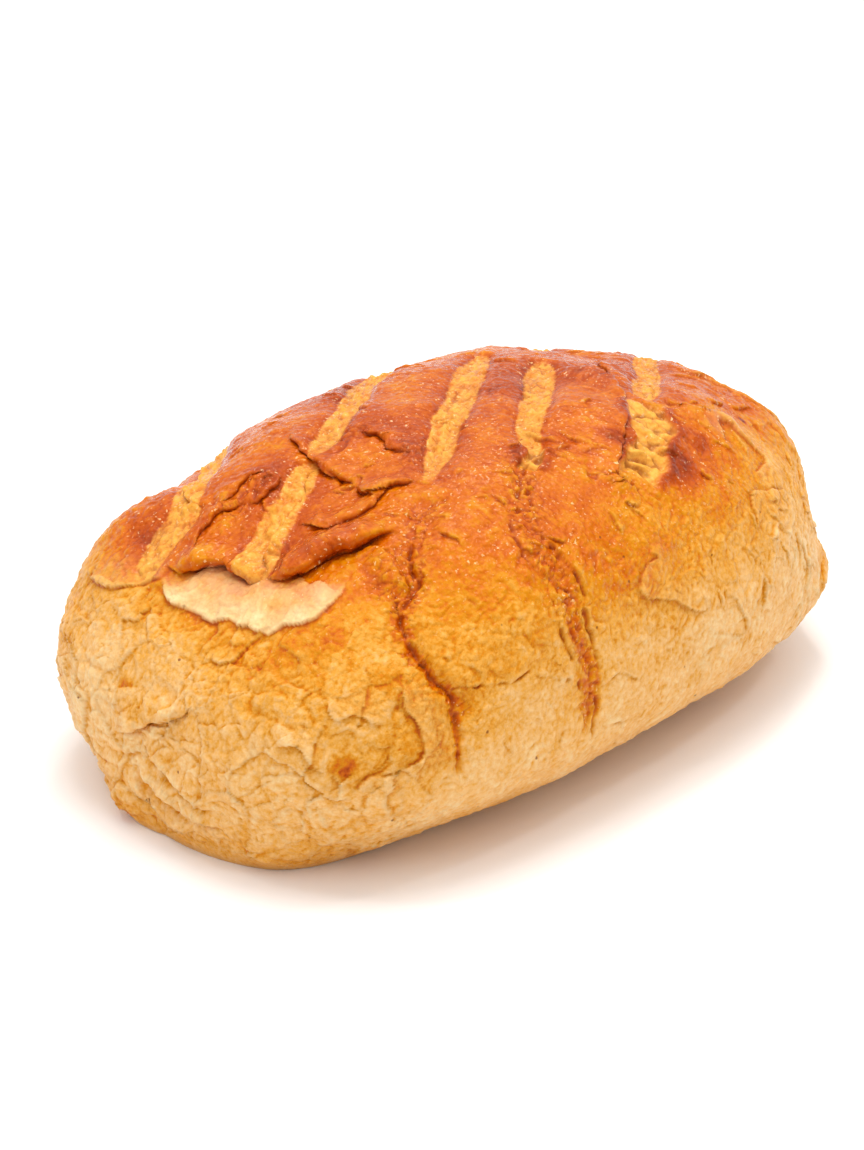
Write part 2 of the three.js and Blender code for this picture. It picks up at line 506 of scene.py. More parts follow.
# line, depth and width of the groove
CRACKS = [
    ([(-58, -42, 105), (-67, -41, 103), (-81, -48, 97), (-91, -57, 90), (-101, -60, 84),
      (-105, -67, 77), (-103, -76, 71), (-100, -79, 67), (-99, -82, 62), (-101, -84, 54),
      (-102, -86, 45), (-103, -86, 36)], 1.5, 0.6),
    ([(-19, -36, 110), (-31, -51, 106), (-47, -61, 101), (-55, -68, 96), (-55, -78, 89),
      (-56, -85, 81), (-57, -90, 73), (-55, -93, 65), (-54, -95, 57), (-53, -97, 47)], 0.9, 0.45),
    ([(-14, -39, 109), (-27, -51, 106), (-38, -61, 102), (-46, -70, 96), (-44, -80, 89),
      (-44, -86, 81), (-45, -91, 73), (-45, -94, 65), (-46, -96, 57), (-45, -97, 49),
      (-46, -97, 40), (-48, -96, 32)], 1.2, 0.5),
    ([(-99, -81, 66), (-93, -84, 65), (-86, -87, 64), (-81, -88, 65), (-73, -90, 65)], 0.9, 0.4),
    ([(-72, -92, 61), (-64, -93, 58), (-56, -95, 57)], 0.8, 0.4),
    ([(-45, -96, 51), (-35, -97, 52), (-27, -98, 47)], 0.8, 0.4),
    ([(-42, -97, 36), (-34, -97, 35), (-26, -98, 35)], 0.7, 0.4),
]

# line, reach at its start and end, how deep the valley is
CRACKLES = [
    ([(-56, -34, 106), (-66, -40, 103), (-80, -47, 97), (-91, -56, 90), (-101, -60, 84),
      (-105, -67, 77), (-103, -76, 71), (-99, -82, 62), (-101, -84, 54), (-102, -86, 45),
      (-103, -86, 36)], 7, 2.5, 2.2),
    ([(-14, -38, 110), (-26, -48, 107), (-40, -60, 102), (-48, -68, 97), (-50, -79, 89),
      (-50, -86, 81), (-51, -91, 73), (-50, -94, 65), (-50, -96, 57), (-49, -97, 47),
      (-49, -97, 32)], 7.5, 5.5, 1.1),
    ([(-88, -40, 95), (-94, -50, 91), (-98, -56, 87)], 6, 6, 0.5),
    ([(-36, -6, 110), (-44, -16, 108), (-50, -20, 107)], 6, 5, 0.3),
    ([(-8, -58, 104), (2, -66, 100), (5, -74, 95)], 3, 3, 0.6),
    ([(-96, 24, 92), (-84, 22, 97), (-76, 20, 101)], 7, 5, 0.2),
    ([(-52, 26, 107), (-42, 16, 109), (-36, 8, 110)], 6, 6, 0.2),
]


def split_cracks(crust):
    for line, depth, width in CRACKS:
        near, across, where, foot = crust.along(line, 8, crust.jagged)
        fade = ends(where, 0.05) * (1 + 0.5 * noise(foot, 6, 33))
        groove = bell(across, width)
        lip = 0.5 * ease(across, -0.3, 0.8) * np.exp(-np.abs(across) / 4)
        crust.height[near] += fade * (lip - depth * groove)
        # dark line along the crack's groove: partly pooled glaze, partly painted shade
        crust.raise_mark("crease", near, 0.8 * np.clip(fade, 0, 1) * groove)
    for line, start, end, depth in CRACKLES:
        near, across, where, foot = crust.along(line, 3 * max(start, end))
        reach = mix(start, end, where) * (1 + 0.3 * noise(foot, 9, 34))
        fade = ends(where, 0.1)
        crust.height[near] -= depth * fade * bell(across, 0.8 * reach)
        inside = 1 - ease(np.abs(across / reach), 0.4, 1.4)
        crust.raise_mark("crackle", near, fade * inside)


# where a score tore without browning: line, and reach at its start and end
TORN_FOIL = [
    ([(48, -40, 107), (38, -50, 105), (26, -59, 102), (8, -68, 98)], 8.5, 7),
    ([(-12, -40, 109), (-18, -44, 108), (-24, -48, 107)], 3.5, 3.5),
]


def wrinkle_foil(crust):
    """Bare dough, stretched into fine glossy wrinkles across the score."""
    turned = crust.turned(SCORE_TURN)
    wrinkles = puffs(turned * np.array([1, 0.35, 0.6]), 5.5, 36) + 0.5 * noise(turned, 2.4, 38)
    for line, start, end in TORN_FOIL:
        near, across, where, foot = crust.along(line, 3 * max(start, end))
        reach = mix(start, end, where) * (1 + 0.25 * noise(foot, 9, 37))
        fade = ends(where, 0.08)
        inside = fade * (1 - ease(np.abs(across / reach), 0.85, 1.1))
        beside = fade * bell(np.abs(across) - reach - 1.5, 1.5)
        crust.height[near] += inside * (1.3 * wrinkles[near] - 1.8) + 0.9 * beside
        crust.raise_mark("foil", near, inside)
        # dark lines in the valleys of the foil's wrinkles: painted shade
        crust.raise_mark("crease", near, 0.8 * inside * (1 - ease(wrinkles[near], -0.5, 0.2)))
        crust.raise_mark("rim", near, 2.4 * beside)


# --- Lifted skin ------------------------------------------------------------------------------

# line, height of the step, reach, paleness; the loose skin lies to the left of the line, or to
# the right where the height is negative
FLAPS = [
    ([(-128, 56, 69), (-128, 51, 71), (-128, 37, 74), (-125, 28, 77),
      (-124, 22, 78)], 1.1, 14, 0.2),
    ([(-124, 24, 78), (-127, 15, 74), (-126, 6, 75), (-127, -1, 74), (-124, -11, 76),
      (-124, -25, 76), (-121, -30, 78), (-118, -38, 80), (-112, -39, 83), (-105, -41, 87),
      (-102, -40, 89)], 1.1, 20, 1.0),
    ([(113, 0, 97), (96, -10, 101), (82, -21, 104), (65, -32, 106), (54, -38, 107)], 0.5, 5, 0.1),
    ([(-129, -57, 63), (-130, -60, 59), (-126, -64, 62), (-122, -70, 59),
      (-121, -72, 57)], 0.7, 8, 0.1),
    ([(-112, -70, 68), (-114, -75, 61), (-112, -78, 58), (-113, -80, 51), (-114, -80, 46),
      (-120, -77, 43), (-126, -73, 43), (-131, -68, 37)], 0.8, 10, 0.12),
    ([(-139, -56, 47), (-139, -57, 43), (-137, -61, 40), (-134, -65, 37),
      (-131, -68, 38)], 0.7, 8, 0.1),
    ([(-142, -47, 50), (-138, -54, 51), (-137, -58, 47), (-136, -62, 45)], 0.6, 8, 0.1),
    ([(61, -66, 96), (69, -61, 97), (74, -66, 93), (78, -70, 88), (78, -74, 85),
      (66, -77, 86)], 0.7, 8, 0.2),
    ([(50, -90, 72), (54, -84, 81), (65, -82, 81), (79, -81, 76), (77, -86, 69),
      (67, -91, 61)], -0.7, 9, 0.1),
    ([(-11, -86, 84), (-7, -88, 80), (-17, -89, 78), (-16, -92, 73), (-7, -95, 67), (8, -97, 60),
      (15, -96, 63)], 0.55, 8, 0.1),
    ([(103, -11, 100), (106, -25, 96), (109, -41, 93), (119, -51, 83),
      (120, -56, 77)], 0.7, 7, 0.1),
    ([(96, -62, 92), (104, -58, 90), (108, -64, 84), (112, -66, 76),
      (106, -74, 70)], 0.6, 8, 0.1),
]


def lift_skin(crust):
    for line, step, reach, paleness in FLAPS:
        near, across, where, foot = crust.along(line, 3 * reach)
        toward = crust.toward[near]
        if step < 0:
            across, toward, step = -across, -toward, -step
        fade = ends(where, 0.1) * (1 + 0.35 * noise(foot, 9, 35))
        skin = ease(across, -0.7, 0.7)
        raised = skin * np.exp(-np.abs(across) / reach)
        sunken = (1 - skin) * np.exp(-np.abs(across) / 5)
        crust.height[near] += fade * step * (raised - 0.5 * sunken)
        crust.shift[near] -= toward * (0.15 * step * fade * bell(across - 0.5, 0.8))[:, None]
        pale = skin * (1 - 0.5 * ease(across, 0, 0.5 * reach))
        pale = pale * (1 - ease(across, 0.6 * reach, reach))
        crust.raise_mark("skin", near, paleness * np.clip(fade, 0, 1) * pale)
        # painted shadow: a dark line where the lifted skin overhangs the crust
        crust.raise_mark("tucked", near, 0.6 * np.clip(fade, 0, 1) * sunken * bell(across, 1.2))


# --- Scattered small wrinkles and loose flakes ------------------------------------------------


def scatter(crust, weight, count, length, seed, heading, spread):
    """Short random lines on the crust where the weight is high, as lists of points."""
    rng = np.random.default_rng(seed)
    lines = []
    picks = rng.choice(len(weight), count, p=weight / weight.sum())
    for pick in picks:
        normal = crust.normals[pick]
        if heading is None:
            way = unit(np.cross(normal, rng.normal(size=3)))
        else:
            way = unit(np.array(heading) - normal * (normal @ np.array(heading)))
            way = unit(way + spread * np.cross(normal, way) * rng.normal())
        curl = rng.normal() * 0.05
        size = length * rng.uniform(0.5, 1.3)
        at, line = crust.points[pick], []
        for _ in range(5):
            line.append(at)
            at = at + way * size / 4
            way = unit(way + curl * size / 4 * np.cross(normal, way))
        lines.append(line)
    return lines, rng


def ruffle(crust, lines, rng, rise, reach, flap_share, mark):
    """Each line becomes a small fold or the edge of a loose flake."""
    for line in lines:
        strength = rise * rng.uniform(0.5, 1.2)
        is_flap = rng.random() < flap_share
        near, across, where, _ = crust.along(line, 2.5 * reach)
        fade = ends(where, 0.3)
        if is_flap:
            lifted = ease(across, -0.35, 0.35) * np.exp(-np.abs(across) / reach)
            crust.height[near] += fade * strength * lifted
            lean = 0.6 * strength * fade * bell(across - 0.5, 0.7)
        else:
            crown = ease(across, -0.4, 1.2) * np.exp(-(np.maximum(across, 0) / reach) ** 1.5)
            gutter = ease(-across, -0.7, 0.4) * np.exp(-np.maximum(-across, 0) / (0.5 * reach))
            crust.height[near] += fade * strength * (crown - 0.7 * gutter)
            lean = 0.5 * strength * fade * bell(across - 1.0, 0.9)
            # dark line in the fold's gutter: partly pooled glaze, partly painted shade
            crust.raise_mark("crease", near, mark * fade * bell(across + 0.5, 0.7))
        crust.shift[near] -= crust.toward[near] * lean[:, None]


ACROSS_SCORES = (math.sin(SCORE_TURN), -math.cos(SCORE_TURN), 0)

# where, how many, length, seed, heading, spread of the headings, rise, reach, share of flakes,
# darkness of the crease line, which is partly pooled glaze and partly painted shade
WRINKLES = [
    ("top", 90, 10, 82, ACROSS_SCORES, 0.7, 0.9, 3.0, 0.3, 0.35),
    ("near end", 100, 15, 83, (0.0, 1.0, -0.5), 0.5, 0.6, 4.5, 0.6, 0.0),
    ("far side", 120, 12, 84, (0.3, 0.0, -1.0), 0.8, 0.8, 3.5, 0.7, 0.0),
    ("back", 70, 14, 85, (0.5, 0.0, -1.0), 0.9, 0.8, 4.0, 0.6, 0.0),
    ("long side", 130, 6, 87, (0.5, 0.0, -1.0), 1.0, 0.5, 2.0, 0.6, 0.25),
    ("anywhere", 200, 6, 86, None, 0.0, 0.45, 2.2, 0.5, 0.0),
]


def wrinkled_places(crust):
    """How likely a wrinkle is at each point, for each part of the loaf."""
    p, side = crust.points, crust.side
    below_top = 1 - ease(p[:, 2], 84, 100)
    return {
        "top": ease(p[:, 2], 88, 104) * (0.3 + ease(noise(p, 30, 81), -0.2, 0.5)),
        "near end": ease(-p[:, 0], 96, 130) * (1 - ease(p[:, 2], 74, 90)) * side,
        "far side": ease(p[:, 0] - 0.5 * p[:, 1], 30, 90) * below_top * side,
        "back": ease(p[:, 1], 20, 70) * below_top * side,
        "long side": ease(-p[:, 1], 66, 84) * side * (1 - ease(p[:, 2], 84, 96)),
        "anywhere": side * (1 - 0.7 * crust.mark("band")),
    }


def scatter_wrinkles(crust):
    weights = wrinkled_places(crust)
    for name, count, length, seed, heading, spread, rise, reach, flakes, dark in WRINKLES:
        lines, rng = scatter(crust, weights[name], count, length, seed, heading, spread)
        ruffle(crust, lines, rng, rise, reach, flakes, dark)


# --- Crust texture --------------------------------------------------------------------------

# place, reach, height
BULGES = [
    ((30, -38, 108), 18, 2.6),
    ((-72, -66, 90), 20, 1.6),
    ((-128, -16, 66), 13, -1.8),
    ((-134, 22, 60), 16, 1.4),
    ((-128, -46, 64), 14, 1.6),
    ((-118, -70, 50), 16, 1.6),
    ((-110, 51, 85), 7, -2.2),
    ((-140, -20, 54), 12, 1.2),
    ((48, -12, 110), 9, 1.6),
    ((70, -46, 103), 14, 1.4),
    ((108, -40, 92), 12, 0.5),
    ((-100, -18, 91), 10, 1.0),
    ((60, 22, 108), 14, 1.6),
    ((16, 34, 110), 13, 1.4),
    ((-26, 12, 111), 14, 1.2),
    ((-82, 26, 98), 13, 1.4),
    ((-145, 20, 6), 8, 3.0),
    ((-141, 14, 1), 6, 2.0),
    ((-149, 3, 19), 3.2, -3.0),
    ((110, -82, 33), 9, 2.3),
    ((126, -68, 46), 13, -3.0),
    ((-146, 30, 55), 12, -1.8),
    ((-149, 0, 40), 12, -1.5),
]


# size, height and seed of the waves in the rolled dough
UNEVENNESS = ((55, 1.0, 1), (27, 0.9, 2), (13, 0.5, 3))


def roll_dough(crust):
    """Broad unevenness of the whole loaf."""
    p = crust.points
    for size, rise, seed in UNEVENNESS:
        crust.height += crust.side * rise * noise(p, size, seed)
    for at, reach, rise in BULGES:
        crust.height += rise * bell(np.linalg.norm(crust.bent - np.array(at), axis=1), reach)


# size, height and seed of the flakes
FLAKES = ((19, 0.55, 11), (11, 0.35, 12))


def lay_flakes(crust):
    """Thin overlapping flakes: tilted plates with crisp edges."""
    p = crust.bent * np.array([1.0, 1.0, 0.8])
    near_end = ease(-crust.points[:, 0], 92, 128)
    far_side = ease(crust.points[:, 0] - 0.4 * crust.points[:, 1], 20, 90)
    low = 1 - ease(crust.points[:, 2], 66, 92)
    patchy = ease(noise(crust.points, 34, 48), -0.35, 0.35)
    flaky = 0.9 * near_end + 0.8 * far_side * patchy + 0.3 * patchy
    amount = np.clip(low * flaky, 0, 1) * crust.side
    for size, height, seed in FLAKES:
        first, second, way, number = cells(p, size, seed)
        level, a, b, c = shades(number, 4)
        tilt = np.stack([a, b, c], -1) * 2 - 1
        plate = (level - 0.5) + 1.4 * (way * tilt).sum(1) / size
        crust.height += height * amount * plate
        seam = 1 - ease(second - first, 0, 0.09 * size)
        # painted shadow along the seams where one flake lies over the next
        crust.raise_mark("tucked", slice(None), 0.22 * amount * seam)


def wrinkle_ends(crust):
    """Small folds where the dough was rolled up and tucked in."""
    p = crust.bent
    near_end = crust.zone((-150, 8, 20), (16, 44, 20))
    far_end = crust.zone((150, 5, 24), (16, 40, 22))
    swirl = p * np.array([1.0, 0.5, 1.5])
    lumps = puffs(swirl, 9, 52) + 0.4 * puffs(swirl, 4, 53)
    crust.height += (near_end + 0.8 * far_end) * crust.side * 0.6 * lumps
    upper = ease(-crust.points[:, 0], 108, 134) * (1 - ease(crust.points[:, 2], 68, 82))
    crust.height += 0.4 * upper * crust.side * puffs(p * np.array([1, 0.6, 1.5]), 14, 55)


# height of the lumps, puffs and grain, on the sides and on the top
LUMPS, PUFFS, GRAIN = (0.35, 0.42), (0.22, 0.14), (0.18, 0.16)
LUMP_SIZE, PUFF_SIZE, GRAIN_SIZE = 6.5, 3.2, 1.8
PLATE_SIZE = 3.6  # of the crackled crust


def raise_blisters(crust):
    """Blisters in the browned cracks, and the grain of the whole crust."""
    p = crust.points
    crackle = crust.mark("crackle")
    near = np.flatnonzero(crackle > 0.03)
    share, bent = crackle[near], crust.bent[near]
    first, second, _, number = cells(bent, PLATE_SIZE, 62)
    seam = 1 - ease(second - first, 0.0, 0.5)
    scale = shades(number, 1)[0] - 0.5
    crust.height[near] += share * (0.7 * scale + 0.5 * noise(p[near], 2.4, 65) - 0.3 * seam)
    # dark lines in the seams between the plates: partly pooled glaze, partly painted shade
    crust.raise_mark("crease", near, 0.45 * share * seam)
    top = ease(p[:, 2], 74, 100)
    rough = ease(noise(p, 24, 67), -0.2, 0.5)
    crust.height += crust.side * mix(*LUMPS, top) * rough * puffs(crust.bent, LUMP_SIZE, 68)
    crust.height += crust.side * mix(*PUFFS, top) * puffs(crust.bent, PUFF_SIZE, 66)
    crust.height += crust.side * mix(*GRAIN, top) * noise(p, GRAIN_SIZE, 63)


# --- How far the crust is browned, where shade is painted into it, and how it shines -----------

# place, reach, and how much darker
SCORCHES = [
    ((18, 1, 112), 9, 0.18),
    ((34, 10, 111), 12, 0.12),
    ((15, -51, 106), 5, 0.26),
    ((31, -70, 97), 6, 0.22),
    ((49, -65, 99), 6, 0.24),
    ((48, -16, 110), 11, 0.20),
    ((-33, 10, 109), 13, 0.14),
    ((33, -74, 96), 7, 0.14),
    ((-118, -48, 78), 6, 0.12),
    ((-42, -10, 109), 9, 0.12),
    ((-72, 24, 101), 9, 0.20),
    ((-83, 22, 98), 10, 0.14),
    ((-10, 62, 101), 22, 0.14),
    ((66, 8, 108), 22, 0.12),
    ((-92, -24, 94), 10, 0.04),
    ((-96, -48, 91), 9, 0.06),
    ((95, -40, 98), 16, 0.08),
    ((-108, 52, 84), 12, 0.14),
    ((-110, 44, 86), 8, 0.10),
    ((-146, 18, 52), 2.4, 0.5),
    ((-131, -67, 47), 4, 0.35),
    ((-150, 0, 31), 3, 0.4),
    ((-144, 20, 5), 7, 0.2),
    ((104, -83, 37), 9, 0.16),
    ((88, -55, 94), 1.7, 0.8),
    ((-122, -72, 48), 24, 0.10),
    ((-104, -80, 56), 16, 0.08),
    ((-136, 32, 62), 17, -0.13),
    ((-148, 36, 38), 16, -0.10),
    ((-113, -72, 16), 14, -0.08),
    ((-140, -4, 58), 17, -0.10),
    ((-124, -20, 77), 12, -0.10),
    ((70, -92, 60), 26, -0.08),
]

BROWNED_FROM, BROWNED_TO = 34, 106  # heights between which the crust turns from pale to golden
PALE, GOLDEN = 0.16, 0.44  # how far it is baked below them, and how much further above
GLAZED_FROM, GLAZED_TO = 56, 96  # heights between which it turns from matt to glossy


def brown(crust):
    p = crust.points
    level = p[:, 2] + 9 * noise(p, 45, 71) + 5 * noise(crust.bent, 18, 72)
    level -= 9 * ease(p[:, 0] - 0.5 * p[:, 1], 10, 90) * (1 - ease(p[:, 2], 84, 100))
    bake = PALE + GOLDEN * ease(level, BROWNED_FROM, BROWNED_TO)
    bake += 0.13 * (1 - ease(p[:, 2], 3, 30))
    bake += 0.05 * noise(p, 22, 73) + 0.05 * noise(crust.bent, 9, 74)
    for at, reach, darker in SCORCHES:
        away = np.linalg.norm(crust.bent - np.array(at), axis=1)
        bake += darker * np.exp(-((away / reach) ** 3))
    # painted shade: the hollow mark darkens low places and lightens ridges, the groove mark
    # darkens grooves
    soft = smoothed(crust.height, crust.quads, 3)
    hollow = smoothed(soft, crust.quads, 9) - crust.height
    crust.marks["bake"] = np.clip(bake, 0, 1)
    crust.marks["hollow"] = np.clip(0.5 + hollow / 1.6, 0, 1)
    crust.marks["groove"] = np.clip((soft - crust.height) / 0.3, 0, 1)
    shining = np.maximum(crust.mark("crackle"), crust.mark("foil"))
    crust.marks["gloss"] = np.maximum(ease(level, GLAZED_FROM, GLAZED_TO), shining)
    crust.marks["under"] = 1 - ease(p[:, 2], 0.2, 3)


def build_crust():
    crust = Crust()
    roll_dough(crust)
    lay_flakes(crust)
    wrinkle_ends(crust)
    cut_scores(crust)
    fold_skin(crust)
    split_cracks(crust)
    wrinkle_foil(crust)
    lift_skin(crust)
    scatter_wrinkles(crust)
    raise_blisters(crust)
    brown(crust)
    return crust


# --- From the arrays to Blender -------------------------------------------------------------


def crust_mesh(crust):
    moved = crust.points + crust.normals * crust.height[:, None] + crust.shift
    moved[:, 2] = np.where(crust.points[:, 2] < 0.01, 0, np.maximum(moved[:, 2], 0.05))
    mesh = bpy.data.meshes.new("loaf_crust")
    mesh.vertices.add(len(moved))
    mesh.vertices.foreach_set("co", (moved * MM).astype(np.float32).ravel())
    mesh.loops.add(crust.quads.size)
    mesh.loops.foreach_set("vertex_index", crust.quads.astype(np.int32).ravel())
    mesh.polygons.add(len(crust.quads))
    mesh.polygons.foreach_set("loop_start", np.arange(0, crust.quads.size, 4, dtype=np.int32))
    mesh.update(calc_edges=True)
    mesh.polygons.foreach_set("use_smooth", np.ones(len(crust.quads), bool))
    crown, below = crust.opened
    is_under = (crust.points[crust.quads, 2] < 0.01).all(1)
    places = np.where(is_under[:, None, None], below[crust.quads], crown[crust.quads])
    mesh.uv_layers.new(name="OFBake").uv.foreach_set("vector", places.astype(np.float32).ravel())
    for name, values in crust.marks.items():
        attribute = mesh.attributes.new(name, "FLOAT", "POINT")
        attribute.data.foreach_set("value", values.astype(np.float32))
    piece = bpy.data.objects.new("loaf_crust", mesh)
    bpy.context.collection.objects.link(piece)
    return piece


def srgb(red, green, blue):
    def linear(c):
        c /= 255
        return c / 12.92 if c <= 0.04045 else ((c + 0.055) / 1.055) ** 2.4
    return (linear(red), linear(green), linear(blue), 1.0)


class Nodes:
    """A short way to write a node tree."""

    def __init__(self, owner):
        owner.use_nodes = True
        self.tree = owner.node_tree
        self.tree.nodes.clear()

    def add(self, kind, inputs=None, **settings):
        node = self.tree.nodes.new(kind)
        for key, value in settings.items():
            setattr(node, key, value)
        for key, value in (inputs or {}).items():
            self.put(node.inputs[key], value)
        return node

    def put(self, socket, value):
        if isinstance(value, bpy.types.NodeSocket):
            self.tree.links.new(value, socket)
        else:
            socket.default_value = value

    def math(self, operation, a, b=0.0, clamp=False):
        node = self.add("ShaderNodeMath", operation=operation, use_clamp=clamp)
        self.put(node.inputs[0], a)
        self.put(node.inputs[1], b)
        return node.outputs[0]

    def mark(self, name):
        return self.add("ShaderNodeAttribute", attribute_name=name).outputs["Fac"]

    def noise(self, size_mm, detail=3.0, roughness=0.55, stretch=(1, 1, 1)):
        place = self.add("ShaderNodeTexCoord").outputs["Object"]
        scaled = self.add("ShaderNodeMapping", {"Vector": place, "Scale": stretch})
        return self.add("ShaderNodeTexNoise", {
            "Vector": scaled.outputs[0], "Scale": 1 / (size_mm * MM),
            "Detail": detail, "Roughness": roughness,
        }).outputs["Fac"]

    def range(self, value, low, high, to_low=0.0, to_high=1.0):
        return self.add("ShaderNodeMapRange", {
            "Value": value, "From Min": low, "From Max": high,
            "To Min": to_low, "To Max": to_high,
        }).outputs[0]

    def spots(self, size_mm):
        """Distance from scattered spots, as a share of the space between them."""
        place = self.add("ShaderNodeTexCoord").outputs["Object"]
        node = self.add("ShaderNodeTexVoronoi", {"Vector": place, "Scale": 1 / (size_mm * MM)})
        return node.outputs["Distance"]

    def blend(self, share, a, b, kind="MIX"):
        node = self.add("ShaderNodeMix", data_type="RGBA", blend_type=kind)
        self.put(node.inputs[0], share)
        self.put(node.inputs[6], a)
        self.put(node.inputs[7], b)
        return node.outputs[2]

    def ramp(self, value, stops):
        node = self.add("ShaderNodeValToRGB", {"Fac": value})
        points = node.color_ramp.elements
        while len(points) < len(stops):
            points.new(0.5)
        for point, (place, colour) in zip(points, stops):
            point.position = place
            point.color = colour
        return node.outputs["Color"]


BROWNING = [
    (0.00, srgb(240, 202, 144)),
    (0.16, srgb(236, 182, 112)),
    (0.32, srgb(228, 160, 62)),
    (0.46, srgb(214, 132, 4)),
    (0.60, srgb(204, 100, 0)),
    (0.72, srgb(186, 76, 0)),
    (0.84, srgb(166, 60, 0)),
    (1.00, srgb(132, 40, 2)),
]
PALE_BAND = srgb(242, 176, 76)
PALE_SKIN = srgb(249, 214, 160)
FOIL = srgb(246, 180, 76)
CREASE_GLAZE_AND_SHADE = srgb(130, 44, 4)
PORE_AND_EDGE_SHADOW = srgb(120, 52, 8)
PAINTED_GLINT_COLOUR = srgb(255, 216, 156)
FLOURY = srgb(214, 160, 96)
MATT, SHINY = 0.40, 0.18  # roughness of the plain crust and of the glaze
WARM_GLOSS = (1.0, 0.72, 0.38, 1.0)
GRAIN_HEIGHT = 0.75


def browned(n, gloss):
    """The crust's plain colour, from how far it is baked, with painted shade: darker in hollows
    and grooves, paler on ridges.
    """
    bake = n.math("ADD", n.mark("bake"), n.range(n.noise(8, 5), 0.3, 0.7, -0.08, 0.08))
    grainy = n.range(n.noise(1.6, 4, 0.7), 0.25, 0.75, -0.2, 0.2)
    bake = n.math("ADD", bake, n.math("MULTIPLY", grainy, n.range(gloss, 0, 1, 0.75, 0.35)))
    for mark in ("rim", "folded"):
        bake = n.math("ADD", bake, n.math("MULTIPLY", n.mark(mark), 0.14))
    mottled = n.range(n.noise(3, 3), 0.35, 0.65, 0.44, 0.7)
    bake = n.math("MAXIMUM", bake, n.math("MULTIPLY", n.mark("crackle"), mottled))
    # painted shade from the hollow and groove marks, strongest on the matt crust; partly pooled
    # glaze on the top
    bake = n.math("ADD", bake, n.range(n.mark("hollow"), 0, 1, -0.16, 0.16))
    darker = n.range(gloss, 0, 1, 0.14, 0.04)
    bake = n.math("ADD", bake, n.math("MULTIPLY", n.mark("groove"), darker))
    return n.ramp(bake, BROWNING)


def bared(n, colour):
    """Paler crust, where the skin peeled, where the scores opened and where one tore."""
    pale = n.math("MULTIPLY", n.mark("skin"), n.range(n.noise(5, 4), 0.35, 0.65, 1.0, 0.6))
    colour = n.blend(pale, colour, PALE_SKIN)
    ragged = n.range(n.noise(2.2, 4, 0.7), 0.3, 0.7, -0.35, 0.35)
    band = n.range(n.math("ADD", n.mark("band"), ragged), 0.25, 0.9, 0, 0.85)
    patchy = n.range(n.noise(4, 4, 0.65), 0.35, 0.62, 1, 0.35)
    colour = n.blend(n.math("MULTIPLY", band, patchy), colour, PALE_BAND)
    foil = n.math("MULTIPLY", n.mark("foil"), n.range(n.noise(3, 3), 0.35, 0.6, 0.95, 0.5))
    return n.blend(foil, colour, FOIL)


def spotted(n, gloss, colour):
    """Painted glints in the glaze, pores, dark crease lines of pooled glaze and painted shade,
    painted shadow under the edges of flakes and lifted skin, and the floury underside.
    """
    # painted glints: small pale specks on the glossy crust that stand in for the reflections of
    # lamps
    painted_glint = n.range(n.noise(1.3, 2, 0.5), 0.64, 0.70)
    scattered = n.range(n.noise(12, 3), 0.42, 0.6, 0.15, 0.7)
    painted_glint = n.math("MULTIPLY", painted_glint, n.math("MULTIPLY", scattered, gloss))
    colour = n.blend(painted_glint, colour, PAINTED_GLINT_COLOUR)
    colour = n.blend(n.range(n.spots(13.0), 0.03, 0.05, 0.8, 0.0), colour, PORE_AND_EDGE_SHADOW)
    baked = n.range(n.mark("bake"), 0.2, 0.55, 0.3, 0.85)
    # crease lines turned deep red-brown: partly pooled glaze, partly painted shade
    colour = n.blend(n.math("MULTIPLY", n.mark("crease"), baked), colour, CREASE_GLAZE_AND_SHADE)
    # painted shadow along the seams of flakes and under lifted skin, in the pores' dark colour
    colour = n.blend(n.math("MULTIPLY", n.mark("tucked"), 0.5), colour, PORE_AND_EDGE_SHADOW)
    floury = n.math("MULTIPLY", n.mark("under"), n.range(n.noise(14, 5), 0.35, 0.65, 0.4, 0.95))
    return n.blend(floury, colour, FLOURY)


def crust_material():
    material = bpy.data.materials.new("bread_crust")
    n = Nodes(material)
    gloss = n.mark("gloss")
    colour = spotted(n, gloss, bared(n, browned(n, gloss)))
    roughness = n.range(gloss, 0, 1, MATT, SHINY)
    roughness = n.math("ADD", roughness, n.range(n.noise(3, 3), 0.3, 0.7, -0.05, 0.07))
    leathery = n.math("MULTIPLY", n.noise(0.9, 3, 0.6), n.range(gloss, 0, 1, 0.7, 0.0))
    grain = n.math("ADD", n.noise(2.0, 1.5, 0.45), leathery)
    bump = n.add("ShaderNodeBump", {
        "Height": grain, "Strength": 1.0, "Distance": GRAIN_HEIGHT * MM,
    })
    shader = n.add("ShaderNodeBsdfPrincipled", {
        "Base Color": colour, "Roughness": roughness, "Normal": bump.outputs[0], "IOR": 1.4,
        "Specular IOR Level": 0.5, "Specular Tint": WARM_GLOSS,
    })
    output = n.add("ShaderNodeOutputMaterial")
    n.put(output.inputs["Surface"], shader.outputs[0])
    return material


crust = build_crust()
loaf = crust_mesh(crust)
loaf.data.materials.append(crust_material())
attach(loaf, "root")
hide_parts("loaf")


# --- Stage, lights and camera ---------------------------------------------------------------


FLOOR_HALF = 8.0


